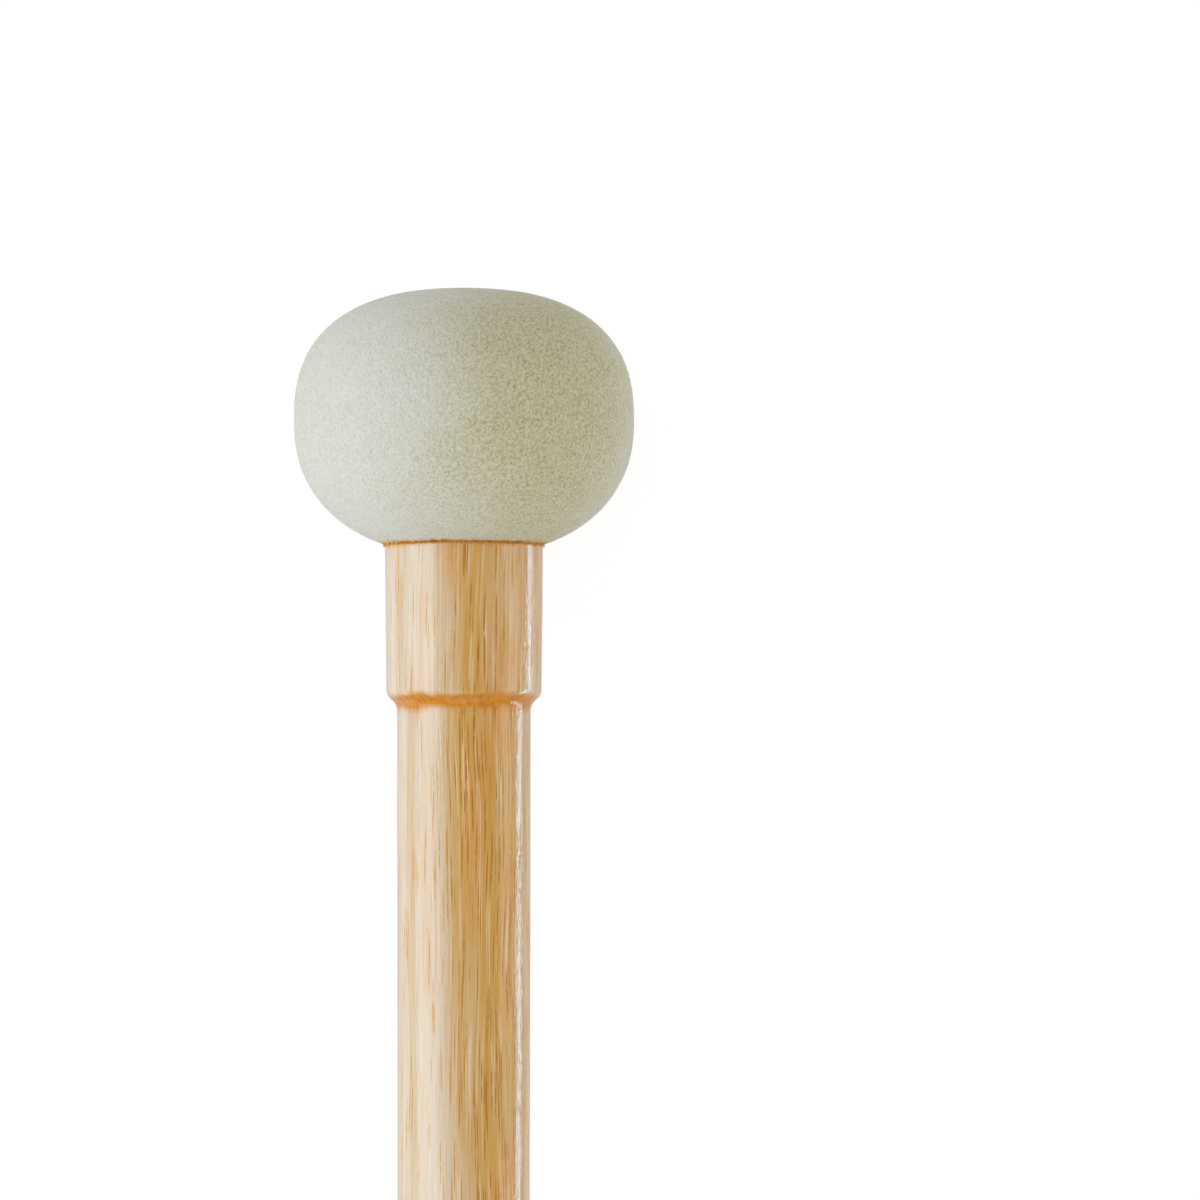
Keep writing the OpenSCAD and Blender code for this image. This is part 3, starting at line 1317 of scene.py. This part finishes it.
@dataclass(frozen=True)
class SoftBox:
    """One soft box, hung round the mallet's axis and facing it.

    Attributes:
        name: the lamp's name.
        turn: where it hangs, in degrees from straight above towards the
            picture's right.
        away: its distance from the mallet, in metres.
        width: its size across the mallet, in metres.
        length: its size along the mallet, in metres.
        level: what a white card at the mallet, facing it, sends back of it.
        colour: its colour.
        lean: how far it hangs towards the butt, in degrees.
        gloss_only: True for a strip that shows in the lacquer and lights
            nothing else.
    """

    name: str
    turn: float
    away: float
    width: float
    length: float
    level: float
    colour: str = "#FFFFFF"
    lean: float = 0.0
    gloss_only: bool = False

    def hang(self, axis: MalletAxis, target: Vector) -> None:
        """Hang the soft box.

        A lamp of P watts at a distance of d metres lights a white card that
        faces it as P / (4 pi d d).

        Args:
            axis: where the mallet lies.
            target: the point that the box faces.
        """
        data = bpy.data.lights.new(self.name, "AREA")
        data.shape = "RECTANGLE"
        data.size, data.size_y = self.width, self.length
        data.energy = self.level * 4 * math.pi * self.away**2
        data.color = linear(self.colour)[:3]
        turn, lean = math.radians(self.turn), math.radians(self.lean)
        across = axis.right * math.cos(turn) - axis.up * math.sin(turn)
        out = (axis.up * math.cos(turn) + axis.right * math.sin(turn)) * math.cos(lean)
        out -= axis.along * math.sin(lean)
        lamp = shown(self.name, data)
        place = Matrix((across, out.cross(across), out)).transposed().to_4x4()
        lamp.matrix_world = Matrix.Translation(target + out * self.away) @ place
        lamp.visible_camera = False
        lamp.visible_diffuse = not self.gloss_only


@dataclass
class Studio:
    """The floor, the lights, the world and the camera.

    Attributes:
        pixels_per_mm: the photograph's scale at the mallet.
        image: the photograph's width, which is its height too, in pixels.
        seam_pixel: where the middle of the felt's seam is, in pixels.
        stand_off: distance from the lens to the mallet, in metres.
        from_butt: how far the view leans towards the butt, in degrees.
        sensor: the width of the camera's sensor, in millimetres.
        floor_half, floor_drop: half the floor's width, and how far it lies
            under the mallet, in metres.
        paper: the floor's own grey, which it lights the mallet with.
        lit, glow: how much of its light and of its glow the camera sees.
        ambient: the world's strength.
        lit_from_seam: the lights face a point this far from the seam, in
            millimetres towards the butt.
    """

    axis: MalletAxis
    seam_at: float
    pixels_per_mm: float = 7.0
    image: float = 1200.0
    seam_pixel: Pair = (463.9, 544.0)
    stand_off: float = 2.3
    from_butt: float = 2.6
    sensor: float = 36.0
    floor_half: float = 9.0
    floor_drop: float = 0.0002
    paper: float = 0.8
    lit: float = 0.27
    glow: float = 0.81
    ambient: float = 0.70
    lit_from_seam: float = 60.0
    boxes: tuple[SoftBox, ...] = (
        SoftBox("soft_left", -65.0, 1.1, 0.85, 1.3, 0.50, "#F6FAFF"),
        SoftBox("soft_right", 76.0, 1.1, 0.50, 1.3, 0.20, "#FFF9EE"),
        SoftBox("soft_butt", 0.0, 1.1, 0.8, 0.8, 0.11, "#F6FAFF", lean=60.0),
        SoftBox("edge_strip_right", 113.0, 1.0, 0.12, 1.5, 0.62, "#A6D9FF", gloss_only=True),
        SoftBox("edge_strip_left", -122.0, 1.0, 0.50, 1.5, 0.12, "#E2ECFF", gloss_only=True),
    )

    def floor(self) -> None:
        """Lay a pale floor under the mallet.

        It is white to the camera, less the mallet's own shadow, plain pale paper
        to the other rays, and unseen by glossy rays.
        """
        half = self.floor_half
        mesh = bpy.data.meshes.new("floor")
        mesh.from_pydata(
            [(-half, -half, 0), (half, -half, 0), (half, half, 0), (-half, half, 0)], [], [(0, 1, 2, 3)],
        )
        floor = shown("floor", mesh)
        floor.location.z = -self.floor_drop
        floor.visible_glossy = False
        made = bpy.data.materials.new("pale_paper")
        add = adder(made)
        seen = add("LightPath", output="Is Camera Ray")
        paper = add("BsdfDiffuse", Color=(*[self.paper] * 3, 1.0))
        shadow = add("BsdfDiffuse", Color=(*[self.lit] * 3, 1.0))
        glow = add("Emission", Color=WHITE, Strength=self.glow)
        bright = add("AddShader", i0=shadow, i1=glow)
        shade = add("MixShader", i0=seen, i1=paper, i2=bright)
        add("OutputMaterial", Surface=shade)
        mesh.materials.append(made)

    def world(self) -> None:
        """Light the scene softly from all round, and show white to the camera."""
        world = bpy.data.worlds.new("studio")
        bpy.context.scene.world = world
        add = adder(world)
        seen = add("LightPath", output="Is Camera Ray")
        soft = add("Background", Color=WHITE, Strength=self.ambient)
        white = add("Background", Color=WHITE, Strength=1.0)
        shade = add("MixShader", i0=seen, i1=soft, i2=white)
        add("OutputWorld", Surface=shade)

    def camera(self) -> None:
        """Set the camera where the photograph was taken from.

        The picture's middle is found from the seam's pixel and the scale, and
        the lens sees the picture's width at the mallet's distance.
        """
        up, right, along = self.axis.up, self.axis.right, self.axis.along
        middle = self.image / 2
        aside = (middle - self.seam_pixel[0]) / self.pixels_per_mm
        ahead = (self.seam_pixel[1] - middle) / self.pixels_per_mm
        target = self.axis.butt + (along * (self.seam_at + ahead) + right * aside) * MM
        lean = math.radians(self.from_butt)
        back = up * math.cos(lean) - along * math.sin(lean)
        data = bpy.data.cameras.new("camera")
        data.sensor_width = self.sensor
        data.lens = self.sensor * self.stand_off / (self.image / self.pixels_per_mm * MM)
        camera = shown("camera", data)
        turn = Matrix((right, back.cross(right), back)).transposed().to_4x4()
        camera.matrix_world = Matrix.Translation(target + back * self.stand_off) @ turn
        bpy.context.scene.camera = camera

    def built(self) -> None:
        """Set the whole studio up."""
        self.floor()
        self.world()
        middle = self.axis.butt + self.axis.along * (self.seam_at - self.lit_from_seam) * MM
        for box in self.boxes:
            box.hang(self.axis, middle)
        self.camera()
        bpy.context.scene.view_settings.view_transform = "Standard"


def main() -> None:
    """Build the mallet and its studio."""
    logging.basicConfig(level=logging.INFO, format="%(name)s: %(message)s")
    axis = MalletAxis.of_record(frame["record"])
    handle = TurnedHandle(axis)
    pieces = [handle.built(), *FeltHead(axis, handle.seam_at).built(), GlueJoint().built()]
    for piece in pieces:
        log.info("%s: %d faces", piece.name, len(piece.data.polygons))
    Studio(axis, handle.seam_at).built()


if __name__ == "__main__":
    main()
